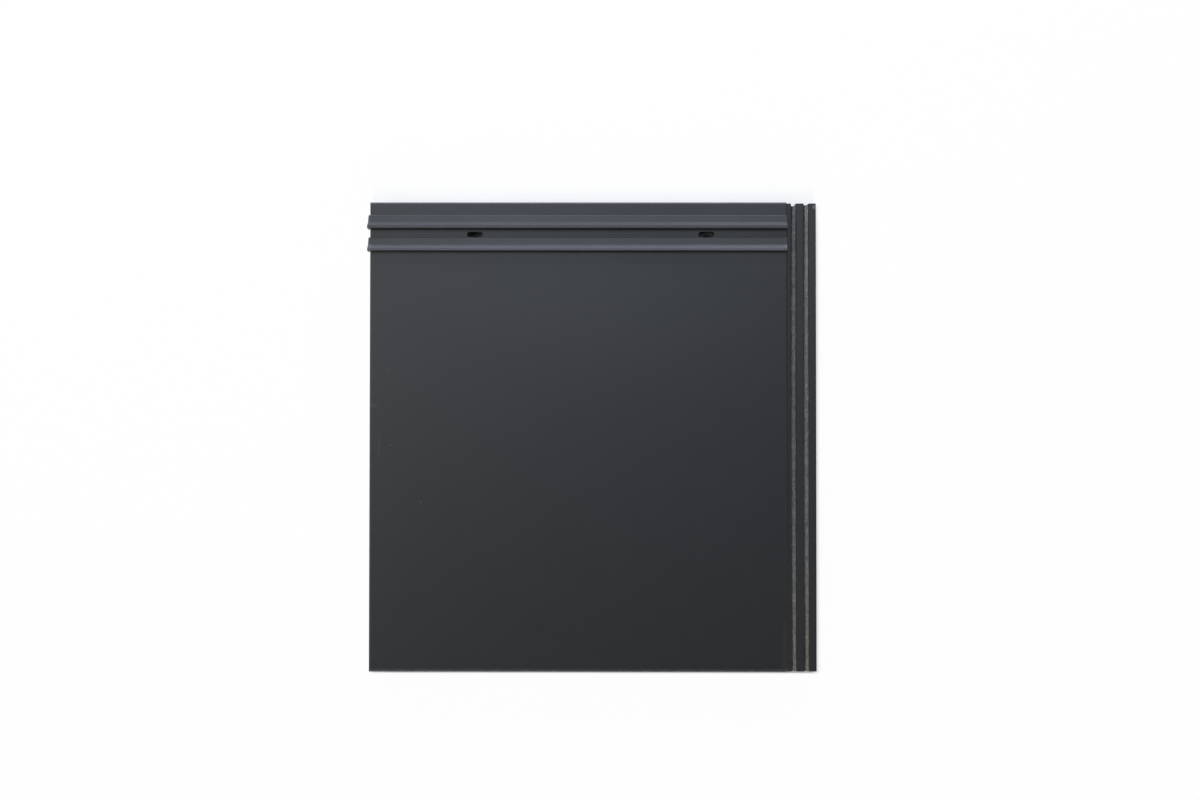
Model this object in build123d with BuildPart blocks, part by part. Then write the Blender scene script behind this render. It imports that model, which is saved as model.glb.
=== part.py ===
"""Flat interlocking solar roof tile, moulded in one piece.

The tile lies on its back as it would on a level floor. +Z is the weather face, +Y points up the
roof to the head of the tile and +X points to the underlock, the low strip with two water channels
that goes under the next tile. The origin is under the middle of the tile, on the floor.
All sizes are in millimetres.
"""

import os
from math import radians, tan

from build123d import *

# Format of the tile
cover_width = 418.0
lock_width = 30.0
tile_length = 470.0
plate_thickness = 12.0
stand_off = 10.0
arris_radius = 2.0
step_arris_radius = 1.0

# Side lock: the underlock strip on the right and the overlock lip on the left
joint_gap = 2.5
overlock_thickness = 5.0
lock_clearance = 0.5
lock_side_clearance = 2.0
lock_drop = 3.0
lock_root = 6.0
lock_edge_radius = 0.8
lock_set_back = 0.5
channel_offsets = (7.5, 20.2)
channel_depth = 4.0
channel_floor = 4.0
channel_draft = 12.0
channel_nicks = (2.0, 1.0)
tongue_side_clearance = 0.8
tongue_tip_clearance = 0.8
tongue_radius = 0.6

# Head ribs: two saw-tooth water bars across the plate
rib_fronts = (26.7, 49.15)
rib_height = 6.0
rib_overhang = 2.0
rib_toe_overhang = 1.2
ledge_length = 7.3
ledge_rise = 1.2
ledge_height = 2.0
riser_length = 3.3
land_length = 2.9
land_rises = (0.1, 1.1)
rib_front_draft = 4.0
rib_radius = 0.6
crest_radius = 0.25

# Slotted fixing holes in the gutter between the ribs
slot_length = 16.0
slot_width = 5.5
slot_spacing = 232.0
slot_from_left = 105.3
slot_from_head = 32.5

# Hanging nibs under the head
nib_length = 44.0
nib_width = 14.0
nib_from_head = 3.0
nib_slope = 2.5
nib_radius = 1.5

# Weather bars under the tail
bar_width = 8.0
bar_from_tail = (8.0, 22.0)
bar_end_margin = 8.0
bar_taper = 8.0
bar_radius = 1.0

# Levels above the floor
back_z = stand_off
face_z = stand_off + plate_thickness
lip_z = face_z - overlock_thickness
land_z = lip_z - lock_clearance
channel_z = land_z - channel_depth
lock_back_z = back_z - lock_drop

# Places across the tile, measured from the middle of its box, rib ends included
right_x = (cover_width + lock_width + rib_overhang) / 2
step_x = right_x - lock_width
left_x = step_x - cover_width
recess_width = lock_width - joint_gap + lock_side_clearance
recess_x = left_x + recess_width

# Places along the tile
head_y = tile_length / 2
tail_y = -tile_length / 2
lock_head_y = head_y - lock_set_back


def channel_outline(centre_x):
    """Water channel from its left mouth to its right mouth, with walls that open upwards."""
    half_floor = channel_floor / 2
    half_mouth = half_floor + channel_depth * tan(radians(channel_draft))
    return [
        (centre_x - half_mouth, land_z),
        (centre_x - half_floor, channel_z),
        (centre_x + half_floor, channel_z),
        (centre_x + half_mouth, land_z),
    ]


def tongue_outline(centre_x):
    """Tongue under the overlock, from right to left, that hangs in the next tile's channel."""
    tip_z = channel_z + tongue_tip_clearance
    half_tip = channel_floor / 2 - tongue_side_clearance
    half_root = half_tip + (lip_z - tip_z) * tan(radians(channel_draft))
    return [
        (centre_x + half_root, lip_z),
        (centre_x + half_tip, tip_z),
        (centre_x - half_tip, tip_z),
        (centre_x - half_root, lip_z),
    ]


def rib_toe(front_y):
    """Head side of a water bar, where its ledge starts."""
    return front_y + land_length + riser_length + ledge_length


def rib_outline(front_y, land_rise):
    """Water bar from its head side to its front: a low ledge, a steep riser, a land and the front."""
    crest_z = face_z + rib_height
    land_y = front_y + land_length
    riser_y = land_y + riser_length
    toe_y = rib_toe(front_y)
    foot_y = front_y - rib_height * tan(radians(rib_front_draft))
    return [
        (toe_y, lip_z),
        (toe_y, face_z + ledge_rise),
        (riser_y, face_z + ledge_height),
        (land_y, crest_z - land_rise),
        (front_y, crest_z),
        (foot_y, face_z),
        (foot_y, lip_z),
    ]


def nib_outline():
    """Hanging nib from the back of the plate down: a sloped head side and an upright batten face."""
    return [
        (head_y - nib_from_head, back_z),
        (head_y - nib_from_head - nib_slope, 0),
        (head_y - nib_from_head - nib_width, 0),
        (head_y - nib_from_head - nib_width, back_z),
    ]


channel_centres = [step_x + offset for offset in channel_offsets]
tongue_centres = [left_x + offset - joint_gap for offset in channel_offsets]

with BuildPart() as roof_tile:
    # Plate with the overlock lip and its two tongues on the left
    with BuildSketch(Plane.XZ.offset(-head_y)) as plate_section:
        with BuildLine():
            plate_points = [
                (left_x, face_z),
                (step_x, face_z),
                (step_x, back_z),
                (recess_x, back_z),
                (recess_x, lip_z),
            ]
            for centre in reversed(tongue_centres):
                plate_points += tongue_outline(centre)
            plate_points.append((left_x, lip_z))
            Polyline(*plate_points, close=True)
        make_face()
        tongue_tips = plate_section.vertices().filter_by_position(
            Axis.Y, back_z, lip_z, inclusive=(False, False)
        )
        fillet(tongue_tips, tongue_radius)
    extrude(amount=tile_length)

    # Rounded arris round the weather face, tighter along the step down to the underlock
    face_edges = faces().sort_by(Axis.Z)[-1].edges().sort_by(Axis.X)
    fillet(face_edges[:-1], arris_radius)
    fillet(faces().sort_by(Axis.Z)[-1].edges().sort_by(Axis.X)[-1], step_arris_radius)

    # Underlock strip with its two water channels on the right
    with BuildSketch(Plane.XZ.offset(-lock_head_y)) as lock_section:
        with BuildLine():
            lock_points = [
                (step_x - lock_root, land_z),
            ]
            for centre in channel_centres:
                lock_points += channel_outline(centre)
            lock_points += [
                (right_x, land_z),
                (right_x, lock_back_z),
                (step_x - lock_root, lock_back_z),
                (step_x - lock_root - lock_drop, back_z),
            ]
            Polyline(*lock_points, close=True)
        make_face()
        lock_edges = lock_section.vertices().filter_by_position(Axis.X, step_x, right_x)
        fillet(lock_edges, lock_edge_radius)
    extrude(amount=lock_head_y - tail_y)

    # Nicks through the head ends of the channels
    with BuildSketch(Plane.XY.offset(land_z)):
        for centre, nick in zip(channel_centres, channel_nicks):
            with Locations((centre, lock_head_y)):
                Rectangle(channel_floor, 2 * nick)
    extrude(amount=land_z - lock_back_z, both=True, mode=Mode.SUBTRACT)

    # Head ribs across the plate, standing a little past its left edge, less so at their toes
    for rib_front, land_rise in zip(rib_fronts, land_rises):
        with BuildSketch(Plane.YZ.offset(left_x - rib_overhang)) as rib_section:
            with BuildLine():
                Polyline(*rib_outline(head_y - rib_front, land_rise), close=True)
            make_face()
            rib_bends = rib_section.vertices().filter_by_position(
                Axis.Y, face_z + ledge_rise / 2, face_z + rib_height - land_rise / 2
            )
            fillet(rib_bends, rib_radius)
            fillet(rib_section.vertices().sort_by(Axis.Y)[-1], crest_radius)
        extrude(amount=cover_width + rib_overhang)
        with BuildSketch(Plane.XY.offset(lip_z)):
            with BuildLine():
                front_corner = (left_x - rib_overhang, head_y - rib_front)
                outer_toe = (left_x - rib_overhang, rib_toe(head_y - rib_front))
                inner_toe = (left_x - rib_toe_overhang, rib_toe(head_y - rib_front))
                Polyline(front_corner, outer_toe, inner_toe, close=True)
            make_face()
        extrude(amount=overlock_thickness + rib_height, mode=Mode.SUBTRACT)

    # Slotted fixing holes
    slot_middle_x = left_x + slot_from_left + slot_spacing / 2
    with BuildSketch(Plane.XY.offset(face_z)):
        with Locations((slot_middle_x, head_y - slot_from_head)):
            with GridLocations(slot_spacing, 0, 2, 1):
                SlotOverall(slot_length, slot_width)
    extrude(amount=plate_thickness + rib_height, both=True, mode=Mode.SUBTRACT)

    # Hanging nibs under the head
    for slot_side in (-1, 1):
        nib_x = slot_middle_x + slot_side * slot_spacing / 2
        with BuildSketch(Plane.YZ.offset(nib_x)) as nib_section:
            with BuildLine():
                Polyline(*nib_outline(), close=True)
            make_face()
            fillet(nib_section.vertices().group_by(Axis.Y)[0], nib_radius)
        extrude(amount=nib_length / 2, both=True)

    # Weather bars under the tail
    bar_left_x = recess_x + bar_end_margin
    bar_right_x = step_x - lock_root - lock_drop - bar_end_margin
    with BuildSketch(Plane.XY.offset(back_z)):
        for from_tail in bar_from_tail:
            with Locations(((bar_left_x + bar_right_x) / 2, tail_y + from_tail)):
                RectangleRounded(bar_right_x - bar_left_x, bar_width, bar_radius)
    extrude(amount=-stand_off, taper=bar_taper)

roof_tile.part.label = "roof_tile"

os.makedirs("parts", exist_ok=True)
export_step(roof_tile.part, "parts/roof_tile.step")

box = roof_tile.part.bounding_box()
print("solids", len(roof_tile.part.solids()), "volume", round(roof_tile.part.volume))
print("size", box.size, "from", box.min, "to", box.max)
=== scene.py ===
# %% [markdown]
# A flat interlocking roof tile
#
# This lesson dresses a dark grey roof tile that was drawn as a solid model. The solid already has the
# true shape, so most of the work is in its finishes: a satin coat on the face, a rougher coat on the lock
# strip, and bare concrete where no coat reached. The tile lies on its back, with its head at +Y and its
# lock strip at +X.

import bmesh
import bpy
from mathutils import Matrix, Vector, noise


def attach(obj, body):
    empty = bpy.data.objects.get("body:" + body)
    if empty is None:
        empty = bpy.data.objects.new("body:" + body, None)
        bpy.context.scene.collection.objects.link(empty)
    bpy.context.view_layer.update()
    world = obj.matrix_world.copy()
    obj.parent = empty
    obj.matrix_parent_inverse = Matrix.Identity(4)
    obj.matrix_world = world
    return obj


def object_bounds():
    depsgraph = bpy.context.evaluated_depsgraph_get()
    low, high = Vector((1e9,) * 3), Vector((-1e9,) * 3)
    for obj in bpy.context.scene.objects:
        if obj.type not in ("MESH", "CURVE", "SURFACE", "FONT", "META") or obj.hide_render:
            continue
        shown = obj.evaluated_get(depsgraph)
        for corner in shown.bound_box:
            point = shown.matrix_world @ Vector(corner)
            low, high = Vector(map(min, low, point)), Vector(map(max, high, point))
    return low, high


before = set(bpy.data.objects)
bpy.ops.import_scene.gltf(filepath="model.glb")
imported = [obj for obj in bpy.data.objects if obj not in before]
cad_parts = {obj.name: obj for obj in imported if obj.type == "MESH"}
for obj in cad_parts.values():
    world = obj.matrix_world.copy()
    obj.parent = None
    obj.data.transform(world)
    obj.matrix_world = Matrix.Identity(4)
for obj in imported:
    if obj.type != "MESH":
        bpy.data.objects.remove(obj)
cad_low, cad_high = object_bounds()
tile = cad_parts["roof_tile"]
print("tile size in mm:", [round(1000 * side, 1) for side in cad_high - cad_low])

# %% [markdown]
# Where things are
#
# The finishes need a few levels and lines of the solid: the face, the step down to the lock strip, the
# lands of the strip and the floors of its two water channels. They could be searched for in the mesh, but
# a handful of named sizes, in metres, is easier to read. Lengths are measured from the box of the solid,
# and heights from the plane that it stands on.

# %% Levels and lines of the tile
RIB_OVERHANG = 0.002
LOCK_WIDTH = 0.030
LAND_DROP = 0.0055
CHANNEL_DEPTH = 0.004
CHANNEL_OFFSETS = (0.0075, 0.0202)

FACE_Z = 0.022
LAND_Z = FACE_Z - LAND_DROP
CHANNEL_Z = LAND_Z - CHANNEL_DEPTH
HEAD_Y = cad_high.y
TAIL_Y = cad_low.y
LEFT_X = cad_low.x + RIB_OVERHANG
RIGHT_X = cad_high.x
STEP_X = RIGHT_X - LOCK_WIDTH
CHANNEL_XS = [STEP_X + offset for offset in CHANNEL_OFFSETS]
print("face at", FACE_Z, "lands at", round(LAND_Z, 4), "channels at", [round(x, 4) for x in CHANNEL_XS])

# %% [markdown]
# The camera
#
# The photograph looks almost straight down, and in it the tile is a little wider at its tail than at its
# head. So the camera leans by one degree. A constraint could aim it, but here the lean is set first, and
# the camera then backs away from what it looks at, so both stay plain numbers. The distance is judged
# from how far the rib ends stand out at the left edge. The lens follows from it: a pixel is about a
# millimetre on the face.

# %% Camera
IMAGE_WIDTH = 1200
MM_PER_PIXEL = 1.0006
CAMERA_DISTANCE = 1.40
SENSOR_WIDTH = 36.0
LOOK_AT = Vector((0.0079, 0.0365, FACE_Z))
LEAN = (0.0169, 0.0039, 0.0006)

camera_data = bpy.data.cameras.new("camera")
camera = bpy.data.objects.new("camera", camera_data)
bpy.context.scene.collection.objects.link(camera)
camera.rotation_euler = LEAN
line_of_sight = camera.rotation_euler.to_matrix() @ Vector((0, 0, -1))
camera.location = LOOK_AT - CAMERA_DISTANCE * line_of_sight
view_width = IMAGE_WIDTH * MM_PER_PIXEL / 1000
camera_data.sensor_width = SENSOR_WIDTH
camera_data.lens = SENSOR_WIDTH * CAMERA_DISTANCE / view_width
camera_data.clip_end = 50.0
bpy.context.scene.camera = camera
print("lens in mm:", round(camera_data.lens, 2), "camera at", [round(c, 3) for c in camera.location])

# %% [markdown]
# Small helpers for node trees
#
# Every finish here is made of the same few steps: read where a point lies, make a noise, turn a value
# into a soft mask, and blend two colours by it. The nodes could be wired by hand in the shader editor.
# Short functions do the same, repeat well and keep the finishes readable.

# %% Sockets and sums
def put(tree, socket, value):
    """Links a socket to the output of a node, or sets it to a plain number or colour."""
    if isinstance(value, bpy.types.NodeSocket):
        tree.links.new(value, socket)
    else:
        socket.default_value = value


def calc(tree, operation, a, b=0.0):
    step = tree.nodes.new("ShaderNodeMath")
    step.operation = operation
    put(tree, step.inputs[0], a)
    put(tree, step.inputs[1], b)
    return step.outputs["Value"]


def product(tree, first, *others):
    for other in others:
        first = calc(tree, "MULTIPLY", first, other)
    return first


print("helpers for sockets and sums are ready")

# %% [markdown]
# Masks and noises
#
# A mask is a value from 0 to 1 that says how much of a tone or a gloss a point gets. A colour ramp could
# draw one, but its stops have no units. Here a mask eases in between two limits, which can be places in
# metres. A noise makes a finish uneven. Most of its values lie near one half, so its middle is stretched
# over the range that a finish asks for.

# %% Soft mask
def soft_mask(tree, value, zero_at, one_at):
    """Eases from 0 to 1 between two limits, of which either may be the higher one."""
    step = tree.nodes.new("ShaderNodeMapRange")
    step.interpolation_type = "SMOOTHSTEP"
    put(tree, step.inputs["Value"], value)
    put(tree, step.inputs["From Min"], zero_at)
    put(tree, step.inputs["From Max"], one_at)
    return step.outputs["Result"]


print("helper for soft masks is ready")

# %% Noises
NOISE_RANGE = (0.25, 0.75)


def between(tree, value, low, high, value_range=(0.0, 1.0)):
    """Goes evenly from low to high while the value crosses its range."""
    step = tree.nodes.new("ShaderNodeMapRange")
    settings = {"Value": value, "To Min": low, "To Max": high}
    settings["From Min"], settings["From Max"] = value_range
    for name, setting in settings.items():
        put(tree, step.inputs[name], setting)
    return step.outputs["Result"]


def cloud(tree, coords, per_metre, detail=2.0, roughness=0.5):
    step = tree.nodes.new("ShaderNodeTexNoise")
    put(tree, step.inputs["Vector"], coords)
    put(tree, step.inputs["Scale"], per_metre)
    put(tree, step.inputs["Detail"], detail)
    put(tree, step.inputs["Roughness"], roughness)
    return step.outputs["Fac"]


def spread(tree, noise_value, low, high):
    """Stretches a noise, most of which lies near its middle, over a range of its own."""
    return between(tree, noise_value, low, high, NOISE_RANGE)


print("helpers for noises are ready")

# %% [markdown]
# Colours
#
# Two tones are blended by a mask, either one over the other or multiplied. The result could be stored as
# colours in the corners of the mesh, but its large flat faces have few corners. Nodes work it out for
# every point that is seen.

# %% Blend of two colours
MIX_COLOUR_A = 6
MIX_COLOUR_B = 7
MIX_COLOUR_RESULT = 2


def blend_colours(tree, mask, a, b, kind="MIX"):
    """The Mix node has sockets for each kind of value, so those for colours are taken by number."""
    step = tree.nodes.new("ShaderNodeMix")
    step.data_type = "RGBA"
    step.blend_type = kind
    put(tree, step.inputs["Factor"], mask)
    put(tree, step.inputs[MIX_COLOUR_A], a)
    put(tree, step.inputs[MIX_COLOUR_B], b)
    return step.outputs[MIX_COLOUR_RESULT]


print("helper for colours is ready")

# %% [markdown]
# Bare concrete
#
# The back of the tile, the lower part of its sides and the channel floors are uncoated. The real surface
# is sand and cement: a mid grey paste with paler and darker grains under a millimetre wide, and small
# pits. A picture could be wrapped round it, but it would stretch on the sides. A cell pattern in space
# has no seams: each cell is a grain, and its random colour says whether the grain is pale, dark or like
# the paste.

# %% Colour and height of bare concrete
GRAINS_PER_METRE = 1400.0
PALE_DRAW = (0.72, 0.95)
DARK_DRAW = (0.75, 0.95)
GRAIN_SHARE = 0.6
DARK_PASTE = (0.116, 0.115, 0.109, 1)
PALE_PASTE = (0.177, 0.172, 0.160, 1)
PALE_GRAIN = (0.33, 0.32, 0.29, 1)
DARK_GRAIN = (0.04, 0.04, 0.04, 1)


def bare_concrete(tree, coords):
    grains = tree.nodes.new("ShaderNodeTexVoronoi")
    put(tree, grains.inputs["Vector"], coords)
    put(tree, grains.inputs["Scale"], GRAINS_PER_METRE)
    draws = tree.nodes.new("ShaderNodeSeparateColor")
    put(tree, draws.inputs["Color"], grains.outputs["Color"])
    pale = soft_mask(tree, draws.outputs["Red"], *PALE_DRAW)
    dark = soft_mask(tree, draws.outputs["Green"], *DARK_DRAW)
    paste = spread(tree, cloud(tree, coords, per_metre=60.0, detail=4.0), 0.0, 1.0)
    tone = blend_colours(tree, paste, DARK_PASTE, PALE_PASTE)
    tone = blend_colours(tree, product(tree, pale, GRAIN_SHARE), tone, PALE_GRAIN)
    tone = blend_colours(tree, product(tree, dark, GRAIN_SHARE), tone, DARK_GRAIN)
    pits = cloud(tree, coords, per_metre=350.0, detail=4.0)
    return tone, calc(tree, "ADD", draws.outputs["Red"], pits)


print("concrete grains in mm:", round(1000 / GRAINS_PER_METRE, 2))

# %% [markdown]
# The coated tile
#
# The coat is a dark grey, slightly blue satin paint. It could be one colour with one gloss, but no real
# coat is that even. So the finish asks of each point where it lies on the tile, in Object coordinates,
# and which way it faces. From that it works out a few masks: where the coat ends, where it is thin, where
# dust lies and where light is painted in. They steer its colour and gloss.

# %% Places on the tile
RAGGED = 0.001


def start_finish(name):
    finish = bpy.data.materials.new(name)
    finish.use_nodes = True
    return finish, finish.node_tree


def split_vector(tree, vector):
    step = tree.nodes.new("ShaderNodeSeparateXYZ")
    put(tree, step.inputs["Vector"], vector)
    return tuple(step.outputs)


def place_on_object(tree):
    """Gives a point's Object coordinates, in metres, as one vector and as its three parts."""
    coords = tree.nodes.new("ShaderNodeTexCoord").outputs["Object"]
    return coords, split_vector(tree, coords)


coated, tree = start_finish("coated_concrete")
coords, (at_x, at_y, at_z) = place_on_object(tree)
facing = tree.nodes.new("ShaderNodeNewGeometry").outputs["Normal"]
facing_z = split_vector(tree, facing)[2]
ragged = spread(tree, cloud(tree, coords, per_metre=260.0, detail=4.0, roughness=0.6), -RAGGED, RAGGED)
print("borders are ragged by", 1000 * RAGGED, "mm")

# %% [markdown]
# Where the coat ends
#
# The coat came from above, so the back and the lower part of the sides are bare, below a ragged line. The
# slots are coated right through, and two chips at the head show concrete. The chips could be cut into the
# mesh, but it is the solid's own and stays as it is. A height with some noise added, cut off softly,
# draws the ragged line. A pair of numbers such as COAT_END says where a mask is 0 and where it is 1.

# %% Spots and sums of masks
SPOT_RIM = (1.0, 0.5)


def largest(tree, first, *others):
    for other in others:
        first = calc(tree, "MAXIMUM", first, other)
    return first


def all_but(tree, share):
    return calc(tree, "SUBTRACT", 1.0, share)


def spot(tree, at_x, at_y, middle, reach, ragged=0.0):
    """Soft oval, gone at its reach across and along the tile and full inside half of it."""
    across = calc(tree, "DIVIDE", calc(tree, "SUBTRACT", at_x, middle[0]), reach[0])
    along = calc(tree, "DIVIDE", calc(tree, "SUBTRACT", at_y, middle[1]), reach[1])
    squares = calc(tree, "ADD", product(tree, across, across), product(tree, along, along))
    away = calc(tree, "ADD", calc(tree, "SQRT", squares), ragged)
    return soft_mask(tree, away, *SPOT_RIM)


print("a spot is full up to", SPOT_RIM[1], "of its reach")

# %% Mask of the bare concrete
COAT_END = (CHANNEL_Z + 0.0017, CHANNEL_Z + 0.0007)
FACING_DOWN = (-0.2, -0.6)
SLOT_X = LEFT_X + 0.1053
SLOT_Y = HEAD_Y - 0.0325
SLOT_SPACING = 0.232
SLOTS = ((SLOT_X, SLOT_Y), (SLOT_X + SLOT_SPACING, SLOT_Y))
SLOT_REACH = (0.0200, 0.0080)
CHIPS = (((0.2240, 0.2308), 0.0028), ((0.1845, 0.2352), 0.0012))
CHIP_RAGGED = 300.0
CHIP_SHARE = 0.7

uncoated_low =soft_mask(tree, calc(tree, "ADD", at_z, ragged), *COAT_END)
uncoated_back = soft_mask(tree, facing_z, *FACING_DOWN)
in_slots = [spot(tree, at_x, at_y, slot, SLOT_REACH) for slot in SLOTS]
uncoated_low = product(tree, uncoated_low, all_but(tree, largest(tree, *in_slots)))
uncoated = largest(tree, uncoated_low, uncoated_back)
ragged_chip = product(tree, ragged, CHIP_RAGGED)
for chip_middle, chip_radius in CHIPS:
    chipped = spot(tree, at_x, at_y, chip_middle, (chip_radius, chip_radius), ragged_chip)
    uncoated = largest(tree, uncoated, product(tree, chipped, CHIP_SHARE))
print("the coat ends at z", round(sum(COAT_END) / 2, 4), "and has", len(CHIPS), "chips")

# %% [markdown]
# Where the coat is thin
#
# Wet paint draws back from an edge, so the rounded edges of the face and the crests of the ribs are a
# little paler. A node can find edges by how pointed the mesh is, but that depends on its triangles. The
# edges of this tile are straight and their places known, so the distance to each is enough.

# %% Mask of the thin coat
LEFT_EDGE = (LEFT_X + 0.0024, LEFT_X + 0.0008)
HEAD_EDGE = (HEAD_Y - 0.0028, HEAD_Y - 0.0008)
TAIL_EDGE = (TAIL_Y + 0.0040, TAIL_Y + 0.0020)
ARRIS_LEVEL = (FACE_Z - 0.0030, FACE_Z - 0.0015)
CREST_LEVEL = (FACE_Z + 0.0055, FACE_Z + 0.0060)
LEFT_SHARE = 0.5
HEAD_SHARE = 0.3
CREST_SHARE = 0.4
PATCHY = (0.2, 0.7)

left_edge = product(tree, soft_mask(tree, at_x, *LEFT_EDGE), LEFT_SHARE)
head_edge = product(tree, soft_mask(tree, at_y, *HEAD_EDGE), HEAD_SHARE)
tail_edge = soft_mask(tree, at_y, *TAIL_EDGE)
near_edge = largest(tree, left_edge, head_edge, tail_edge)
on_arris = product(tree, near_edge, soft_mask(tree, at_z, *ARRIS_LEVEL))
on_crest = product(tree, soft_mask(tree, at_z, *CREST_LEVEL), CREST_SHARE)
patchy = spread(tree, cloud(tree, coords, per_metre=120.0, detail=4.0), *PATCHY)
thin_coat = product(tree, largest(tree, on_arris, on_crest), patchy)
print("nodes for the masks so far:", len(tree.nodes))

# %% [markdown]
# The lock strip
#
# The strip on the right got less coat than the face. It is a browner black and rougher, paler towards the
# head, and its channel walls are thinly coated. The corner below the step is painted paler: painted light
# that lightens the shade of the step. The strip could be a material of its own on its own faces, but a
# mask by place gives the same, and the finish stays one.

# %% Masks of the lock strip
STEP_LINE = (STEP_X - 0.0002, STEP_X + 0.0002)
STRIP_LEVEL = (LAND_Z + 0.0013, LAND_Z + 0.0005)
CHANNEL_LEVEL = (LAND_Z - 0.0004, LAND_Z - 0.0010)
CHANNEL_SIDE = (0.0032, 0.0029)
CORNER = (STEP_X + 0.0062, STEP_X + 0.0012)
STRIP_HEAD = (0.02, 0.16)
STRIP_TAIL = (-0.08, -0.20)


def near_channel(tree, at_x):
    gaps = [calc(tree, "ABSOLUTE", calc(tree, "SUBTRACT", at_x, middle)) for middle in CHANNEL_XS]
    return calc(tree, "MINIMUM", *gaps)


on_strip = product(tree, soft_mask(tree, at_x, *STEP_LINE), soft_mask(tree, at_z, *STRIP_LEVEL))
beside_middle = soft_mask(tree, near_channel(tree, at_x), *CHANNEL_SIDE)
in_channel = product(tree, beside_middle, soft_mask(tree, at_z, *CHANNEL_LEVEL))
# The corner below the step, where painted light is laid against the shade of the step.
in_corner = product(tree, soft_mask(tree, at_x, *CORNER), on_strip)
# The strip is paler towards the head.
paler_strip_head = product(tree, on_strip, soft_mask(tree, at_y, *STRIP_HEAD))
to_tail = soft_mask(tree, at_y, *STRIP_TAIL)
print("the strip is", round(1000 * (RIGHT_X - STEP_X), 1), "mm wide")

# %% [markdown]
# Colour of the coat
#
# The coat has faint clouds and a fine mottle. Both are too weak to notice from afar and could be left
# out, but without them a close view looks like plastic. The strip has its own tone, and where the coat is
# thin the concrete pales it.

# %% Colour of the coat
FACE_COAT = (0.0157, 0.0163, 0.0172, 1)
STRIP_COAT = (0.0135, 0.0128, 0.0122, 1)
THIN_COAT = (0.055, 0.055, 0.054, 1)
CLOUD_LEVELS = (0.98, 1.02)
MOTTLE_LEVELS = (0.93, 1.07)


def shade_by(tree, tone, level):
    grey = tree.nodes.new("ShaderNodeCombineColor")
    for channel in ("Red", "Green", "Blue"):
        put(tree, grey.inputs[channel], level)
    return blend_colours(tree, 1.0, tone, grey.outputs["Color"], "MULTIPLY")


clouds =spread(tree, cloud(tree, coords, per_metre=9.0, detail=3.0), *CLOUD_LEVELS)
mottle = spread(tree, cloud(tree, coords, per_metre=700.0), *MOTTLE_LEVELS)
coat_tone = blend_colours(tree, on_strip, FACE_COAT, STRIP_COAT)
coat_tone = shade_by(tree, coat_tone, product(tree, clouds, mottle))
coat_tone = blend_colours(tree, thin_coat, coat_tone, THIN_COAT)
print("nodes in the coated finish so far:", len(tree.nodes))

# %% [markdown]
# Dust and painted light
#
# The dust is a few specks and streaks near the edges. The three soft bands are painted light: a paler
# band below the lower rib lightens the rib's shadow, a paler line at the foot of its ledge lightens the
# shade of that step, and a paler patch at the head on the right is a painted sheen. They could be painted
# by hand, but a short list of ovals is easy to read and to change. Each has its middle, its reach across
# and along the tile, and its share of the pale tone.

# %% Dust marks and painted light
DUST_AND_PAINTED_LIGHT_MARKS = (
    ((-0.2055, 0.0665), (0.0015, 0.0010), 0.50),
    ((-0.2020, -0.0088), (0.0014, 0.0014), 0.28),
    ((-0.1712, -0.0656), (0.0013, 0.0014), 0.45),
    ((-0.2178, 0.0308), (0.0060, 0.0012), 0.24),
    ((-0.2131, -0.0085), (0.0020, 0.0180), 0.10),
    ((0.1930, -0.2150), (0.0050, 0.0400), 0.09),
    # Painted light: a paler band below the lower rib lightens the rib's shadow.
    ((-0.0140, 0.1780), (0.5000, 0.0140), 0.05),
    # Painted sheen: a paler patch at the head on the right.
    ((0.1900, 0.2040), (0.1300, 0.0480), 0.12),
    # Painted light: a paler line at the foot of the lower rib's ledge lightens the shade of its step.
    ((0.0000, 0.1992), (0.6000, 0.0019), 0.16),
)
# Pale tone of the dust, also laid as painted light and sheen in the three soft bands.
DUST_AND_PAINTED_LIGHT_TONE = (0.08, 0.08, 0.078, 1)

for mark_middle, mark_reach, mark_share in DUST_AND_PAINTED_LIGHT_MARKS:
    dust_and_painted_light = product(tree, spot(tree, at_x, at_y, mark_middle, mark_reach), mark_share)
    coat_tone = blend_colours(tree, dust_and_painted_light, coat_tone, DUST_AND_PAINTED_LIGHT_TONE)
print(len(DUST_AND_PAINTED_LIGHT_MARKS), "dust marks laid on the coat")

# %% [markdown]
# The strip and the bare parts
#
# The masks of the strip now lay their tones: a paler head, thinly coated channel walls, and the corner
# below the step, which is painted paler, most at the tail, as painted light against the shade of the
# step.
# They could go on in any order, but the walls and the corner are small and have to stay on top of the
# paler head. Bare concrete comes last, because it hides what is under it.

# %% Paler strip head, painted light in the step corner, and bare concrete
STRIP_HEAD_TONE = (0.0175, 0.0168, 0.0160, 1)
CHANNEL_WALL = (0.030, 0.029, 0.0275, 1)
# Painted light for the corner below the step, paler still at the tail.
CORNER_PAINTED_LIGHT = (0.025, 0.024, 0.0222, 1)
TAIL_CORNER_PAINTED_LIGHT = (0.031, 0.030, 0.0275, 1)

coat_tone = blend_colours(tree, paler_strip_head, coat_tone, STRIP_HEAD_TONE)
coat_tone = blend_colours(tree, in_channel, coat_tone, CHANNEL_WALL)
# Painted light: the corner below the step is made paler, most at the tail, to lighten the shade of the
# step.
corner_painted_light = blend_colours(tree, to_tail, CORNER_PAINTED_LIGHT, TAIL_CORNER_PAINTED_LIGHT)
coat_tone = blend_colours(tree, in_corner, coat_tone, corner_painted_light)
concrete_tone, concrete_height = bare_concrete(tree, coords)
shader = tree.nodes["Principled BSDF"]
put(tree, shader.inputs["Base Color"], blend_colours(tree, uncoated, coat_tone, concrete_tone))
print("nodes in the coated finish so far:", len(tree.nodes))

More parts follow.
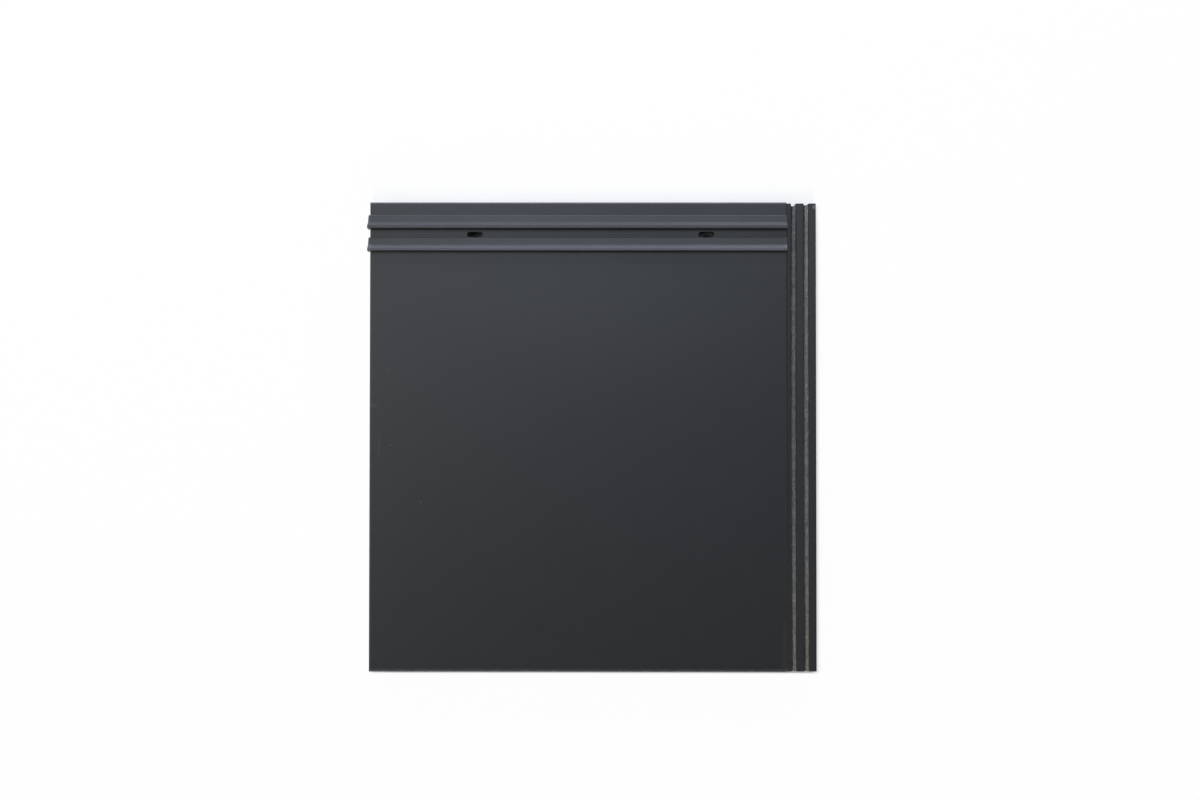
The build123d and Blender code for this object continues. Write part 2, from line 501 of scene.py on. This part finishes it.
# %% [markdown]
# Gloss and relief
#
# The satin coat has a very fine orange peel, bare concrete is matte and grainy, and the strip lies
# between the two. Two sets of masks could do it, but one mask of the rough parts steers both the
# roughness and the relief, so they always agree. The relief is far finer than the mesh, which is why it
# is bump and not geometry.

# %% Relief
BUMP_STRENGTH = 0.5
BUMP_DEPTH = 0.0003


def raise_relief(tree, shader, height):
    bump = tree.nodes.new("ShaderNodeBump")
    put(tree, bump.inputs["Strength"], BUMP_STRENGTH)
    put(tree, bump.inputs["Distance"], BUMP_DEPTH)
    put(tree, bump.inputs["Height"], height)
    put(tree, shader.inputs["Normal"], bump.outputs["Normal"])


print("the relief counts", 1000 * BUMP_DEPTH, "mm for a height of one")

# %% Gloss and relief of the coat
BARE_ROUGHNESS = 0.92
STRIP_ROUGH_SHARE = 0.2
SATIN_ROUGHNESS = (0.44, 0.46)
PEEL_HEIGHT = 0.12
FINE_PEEL_SHARE = 0.3

rough_parts = largest(tree, product(tree, on_strip, STRIP_ROUGH_SHARE), uncoated)
satin = spread(tree, cloud(tree, coords, per_metre=40.0, detail=3.0), *SATIN_ROUGHNESS)
put(tree, shader.inputs["Roughness"], between(tree, rough_parts, satin, BARE_ROUGHNESS))
fine_peel = product(tree, cloud(tree, coords, per_metre=2400.0), FINE_PEEL_SHARE)
peel = calc(tree, "ADD", cloud(tree, coords, per_metre=420.0), fine_peel)
relief = between(tree, rough_parts, product(tree, peel, PEEL_HEIGHT), concrete_height)
raise_relief(tree, shader, relief)
tile.data.materials.clear()
tile.data.materials.append(coated)
print("nodes in the coated finish:", len(tree.nodes))

# %% [markdown]
# The channel beds
#
# The floors of the two water channels are bare, a little lumpy from the mould and ragged where the coat
# ends. On the real tile they are the two light lines on the lock strip. They could be bump alone, but
# then they would be flat from the side. So each is a thin slab sunk in the channel floor, with a lumpy
# top. The lumps are a noise of a few tenths of a millimetre, calmer where the real line is smoother.

# %% Lumps of a bed
LUMP_HEIGHT = 0.00022
LUMPS_PER_METRE = 160.0
CALM_SHARE = 0.35
GRAIN_HEIGHT = 0.00010
BED_GRAINS_PER_METRE = 900.0
TOP_TOLERANCE = 0.0001


def roughen_top(bed, lumpy_from, lumpy_to):
    top_z = max(vert.co.z for vert in bed.verts)
    for vert in bed.verts:
        if vert.co.z > top_z - TOP_TOLERANCE:
            lumpy = 1.0 if lumpy_from < vert.co.y < lumpy_to else CALM_SHARE
            lump = noise.noise(vert.co * LUMPS_PER_METRE) * LUMP_HEIGHT * lumpy
            vert.co.z += lump + noise.noise(vert.co * BED_GRAINS_PER_METRE) * GRAIN_HEIGHT


print("lumps up to", 1000 * LUMP_HEIGHT, "mm high")

# %% [markdown]
# The slabs
#
# A bed starts as a flat grid, as long as its channel and a little wider than the floor, so that its sides
# are hidden in the walls. A box could be cut into as many strips, but a grid has them from the start.
# Solidify makes it a closed slab, and then only the points of its top are moved.

# %% Channel bed shapes
CHANNEL_FLOOR = 0.004
BED_TUCK = 0.0003
BED_WIDTH = CHANNEL_FLOOR + 2 * BED_TUCK
BED_THICKNESS = 0.0012
BED_COLUMNS = 8
BED_STEP = 0.0006
BED_TAIL_GAP = 0.0002
UNIT_HALF_WIDTH = 0.5


def lay_bed(name, centre_x, lumpy_from, lumpy_to, head_gap):
    head_y = HEAD_Y - head_gap
    tail_y = TAIL_Y + BED_TAIL_GAP
    bed = bmesh.new()
    rows = round((head_y - tail_y) / BED_STEP)
    bmesh.ops.create_grid(bed, x_segments=BED_COLUMNS, y_segments=rows, size=UNIT_HALF_WIDTH)
    bmesh.ops.scale(bed, vec=(BED_WIDTH, head_y - tail_y, 1), verts=bed.verts)
    middle = Vector((centre_x, (head_y + tail_y) / 2, CHANNEL_Z + LUMP_HEIGHT))
    bmesh.ops.translate(bed, vec=middle, verts=bed.verts)
    bmesh.ops.solidify(bed, geom=bed.faces[:], thickness=BED_THICKNESS)
    roughen_top(bed, lumpy_from, lumpy_to)
    bmesh.ops.recalc_face_normals(bed, faces=bed.faces)
    for face in bed.faces:
        face.smooth = True
    mesh = bpy.data.meshes.new(name)
    bed.to_mesh(mesh)
    bed.free()
    piece = bpy.data.objects.new(name, mesh)
    bpy.context.scene.collection.objects.link(piece)
    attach(piece, "root")
    print(name, "has", len(mesh.polygons), "faces")
    return piece


inner_x, outer_x = CHANNEL_XS
inner_bed = lay_bed("inner_channel_bed", inner_x, lumpy_from=TAIL_Y, lumpy_to=-0.148, head_gap=0.0027)
outer_bed = lay_bed("outer_channel_bed", outer_x, lumpy_from=-0.165, lumpy_to=0.165, head_gap=0.0017)

# %% [markdown]
# Colour of the beds
#
# The light lines are bare concrete in paler and darker stretches a few millimetres long. They are warmer
# at the tail, the inner line is duller than the outer one, and the outer one is palest at the head. Two
# materials could say this, but one that knows which line a point is on keeps the concrete the same in
# both.

# %% Colour of the beds
STRETCH_LEVELS = (0.74, 1.5)
TAIL_TINT = (1.15, 1.09, 0.95, 1)
INNER_TINT = (0.82, 0.82, 0.82, 1)
OUTER_HEAD_TINT = (1.15, 1.15, 1.15, 1)
OUTER_HEAD = (0.10, 0.19)
INNER_SIDE = (inner_x + 0.007, inner_x + 0.006)

bare_bed, tree = start_finish("bare_channel_bed")
coords, places = place_on_object(tree)
at_x, at_y = places[:2]
stretches = spread(tree, cloud(tree, coords, per_metre=150.0, detail=3.0, roughness=0.6), *STRETCH_LEVELS)
bed_tone, bed_height = bare_concrete(tree, coords)
bed_tone = shade_by(tree, bed_tone, stretches)
to_tail = soft_mask(tree, at_y, *STRIP_TAIL)
bed_tone = blend_colours(tree, to_tail, bed_tone, TAIL_TINT, "MULTIPLY")
on_inner = soft_mask(tree, at_x, *INNER_SIDE)
dull_inner = product(tree, on_inner, all_but(tree, to_tail))
bed_tone = blend_colours(tree, dull_inner, bed_tone, INNER_TINT, "MULTIPLY")
pale_outer = product(tree, soft_mask(tree, at_y, *OUTER_HEAD), all_but(tree, on_inner))
bed_tone = blend_colours(tree, pale_outer, bed_tone, OUTER_HEAD_TINT, "MULTIPLY")
print("nodes in the bed finish so far:", len(tree.nodes))

# %% [markdown]
# Rim of the beds
#
# The coat reaches over the rim of each bed as a dark, ragged overspray, and the lines that it leaves bow
# a little: their ends lie under a millimetre further right than their middles. The slabs could be bent,
# but then they would cut into the straight channel walls. So the rim is found from how far a point is
# from a bowed middle line.

# %% Rim of the beds
LINE_BOW = 0.0006
BOW_MIDDLE_Y = 0.0065
BOW_REACH = 0.21
RIM = (0.0014, 0.0020)
RIM_RAGGED = 0.0005

along_bow = calc(tree, "DIVIDE", calc(tree, "SUBTRACT", at_y, BOW_MIDDLE_Y), BOW_REACH)
bow = product(tree, along_bow, along_bow, LINE_BOW)
from_middle = near_channel(tree, calc(tree, "SUBTRACT", at_x, bow))
ragged_cloud = cloud(tree, coords, per_metre=300.0, detail=3.0, roughness=0.6)
ragged_rim = calc(tree, "ADD", from_middle, spread(tree, ragged_cloud, -RIM_RAGGED, RIM_RAGGED))
overspray = soft_mask(tree, ragged_rim, *RIM)
shader = tree.nodes["Principled BSDF"]
put(tree, shader.inputs["Base Color"], blend_colours(tree, overspray, bed_tone, STRIP_COAT))
put(tree, shader.inputs["Roughness"], BARE_ROUGHNESS)
raise_relief(tree, shader, bed_height)
for piece in (inner_bed, outer_bed):
    piece.data.materials.append(bare_bed)
print("nodes in the bed finish:", len(tree.nodes))

# %% [markdown]
# The table
#
# The tile lies on a white table. It could be a box, but only its top is seen, so one wide face is enough.
# It lies a hair below the tile, so that the two never share a plane.

# %% Table top
TABLE_HALF_WIDTH = 6.0
TABLE_DROP = 0.0002

floor_form = bmesh.new()
bmesh.ops.create_grid(floor_form, x_segments=1, y_segments=1, size=TABLE_HALF_WIDTH)
bmesh.ops.translate(floor_form, vec=(0, 0, -TABLE_DROP), verts=floor_form.verts)
floor_mesh = bpy.data.meshes.new("floor")
floor_form.to_mesh(floor_mesh)
floor_form.free()
floor = bpy.data.objects.new("floor", floor_mesh)
bpy.context.scene.collection.objects.link(floor)
print("the table is", 2 * TABLE_HALF_WIDTH, "m wide")

# %% [markdown]
# White, with soft shadows
#
# Enough lamps would make the table white, but they would wash out the tile too. So the camera sees a
# white glow in place of the paint, except under the tile and in its soft shadows along the head and the
# right side. There the paint shows through by a share, with the shadow that really falls on it, and a
# trace of it shows all round.

# %% Where the table glows
PAST_LEFT = (LEFT_X + 0.001, LEFT_X - 0.003)
PAST_RIGHT = (RIGHT_X - 0.002, RIGHT_X + 0.002)
PAST_HEAD = (HEAD_Y - 0.002, HEAD_Y + 0.002)
PAST_TAIL = (TAIL_Y - 0.0035, TAIL_Y - 0.0055)
HEAD_SHADOW = (HEAD_Y + 0.024, HEAD_Y + 0.002)
RIGHT_SHADOW = (RIGHT_X + 0.0066, RIGHT_X + 0.0020)
HEAD_SHADOW_SHARE = 0.54
RIGHT_SHADOW_SHARE = 0.55
AROUND_REACH = (1.6, 1.6)
AROUND_SHARE = 0.04

white_table, tree = start_finish("white_table")
coords, places = place_on_object(tree)
at_x, at_y = places[:2]
past_head = soft_mask(tree, at_y, *PAST_HEAD)
past_right = soft_mask(tree, at_x, *PAST_RIGHT)
past_sides = largest(tree, soft_mask(tree, at_x, *PAST_LEFT), past_right)
past_ends = largest(tree, soft_mask(tree, at_y, *PAST_TAIL), past_head)
head_shadow = product(tree, soft_mask(tree, at_y, *HEAD_SHADOW), past_head, all_but(tree, past_sides))
right_shadow = product(tree, soft_mask(tree, at_x, *RIGHT_SHADOW), past_right, all_but(tree, past_ends))
shadow = product(tree, spot(tree, at_x, at_y, (0.0, 0.0), AROUND_REACH), AROUND_SHARE)
shadow = calc(tree, "ADD", shadow, product(tree, head_shadow, HEAD_SHADOW_SHARE))
shadow = calc(tree, "ADD", shadow, product(tree, right_shadow, RIGHT_SHADOW_SHARE))
outside = largest(tree, past_sides, past_ends)
print("the head shadow reaches", round(1000 * (HEAD_SHADOW[0] - HEAD_Y)), "mm past the tile")

# %% Paint and glow of the table
PAINT = (0.95, 0.93, 0.90, 1)
PAINT_ROUGHNESS = 0.9
PAINT_SPECULAR = 0.1
WHITE = (1, 1, 1, 1)

paint = tree.nodes["Principled BSDF"]
put(tree, paint.inputs["Base Color"], PAINT)
put(tree, paint.inputs["Roughness"], PAINT_ROUGHNESS)
put(tree, paint.inputs["Specular IOR Level"], PAINT_SPECULAR)
glow = tree.nodes.new("ShaderNodeEmission")
put(tree, glow.inputs["Color"], WHITE)
path = tree.nodes.new("ShaderNodeLightPath")
seen_rays = [path.outputs[ray] for ray in ("Is Camera Ray", "Is Glossy Ray", "Is Transmission Ray")]
seen = largest(tree, *seen_rays)
join = tree.nodes.new("ShaderNodeMixShader")
put(tree, join.inputs["Fac"], product(tree, seen, outside, all_but(tree, shadow)))
put(tree, join.inputs[1], paint.outputs["BSDF"])
put(tree, join.inputs[2], glow.outputs["Emission"])
put(tree, tree.nodes["Material Output"].inputs["Surface"], join.outputs["Shader"])
floor.data.materials.append(white_table)
print("nodes in the table finish:", len(tree.nodes))

# %% [markdown]
# Light
#
# The photograph has soft light from all round, most of it from beyond the head, where it makes the risers
# of the ribs shine. A picture of a studio could give it, but five area lamps are easier to steer. A cool
# panel stands high beyond the head, and a wide, low window behind it. A warm panel brightens the satin
# face from the left, a weak one reaches the lock strip from the right, and a pale one fills in from the
# tail.

# %% Five soft panels
TILE_MIDDLE = Vector((0, 0, 0.02))
COOL = (0.77, 0.87, 1.0)
SKY = (0.76, 0.81, 1.0)
WARM = (1.0, 0.96, 0.86)
PALE = (0.92, 0.97, 1.0)


def soft_panel(name, place, size, watts, colour):
    lamp = bpy.data.lights.new(name, "AREA")
    lamp.shape = "RECTANGLE"
    lamp.size, lamp.size_y = size
    lamp.energy = watts
    lamp.color = colour
    panel = bpy.data.objects.new(name, lamp)
    bpy.context.scene.collection.objects.link(panel)
    panel.location = place
    panel.rotation_euler = (TILE_MIDDLE - Vector(place)).to_track_quat("-Z", "Y").to_euler()
    print(name, "gives", watts, "W")


soft_panel("head_panel", place=(-0.2, 1.3, 2.6), size=(1.4, 1.4), watts=32.5, colour=COOL)
soft_panel("head_window", place=(0.0, 2.6, 0.75), size=(2.6, 1.0), watts=102.0, colour=SKY)
soft_panel("left_panel", place=(-1.6, 0.05, 1.9), size=(1.2, 1.2), watts=18.0, colour=WARM)
soft_panel("right_panel", place=(2.6, -0.5, 0.9), size=(1.6, 1.0), watts=11.0, colour=WARM)
soft_panel("tail_panel", place=(0.0, -2.6, 0.8), size=(2.2, 1.0), watts=39.0, colour=PALE)

# %% [markdown]
# The room
#
# A low view looks past the table, and there the background has to stay as white as the photograph's. A
# backdrop could stand there, but it would show from behind. So the whole world is a white room. Its light
# would flatten the shadows, so it is dim on the tile and white only where it is seen. The Standard view
# shows colours as written.

# %% White room
ROOM_LIGHT = 0.03
ROOM_SEEN = 1.0

world = bpy.data.worlds.new("room")
bpy.context.scene.world = world
world.use_nodes = True
tree = world.node_tree
background = tree.nodes["Background"]
put(tree, background.inputs["Color"], WHITE)
path = tree.nodes.new("ShaderNodeLightPath")
seen = largest(tree, path.outputs["Is Camera Ray"], path.outputs["Is Transmission Ray"])
put(tree, background.inputs["Strength"], between(tree, seen, ROOM_LIGHT, ROOM_SEEN))
bpy.context.scene.view_settings.view_transform = "Standard"
print("the room lights the tile at", ROOM_LIGHT)
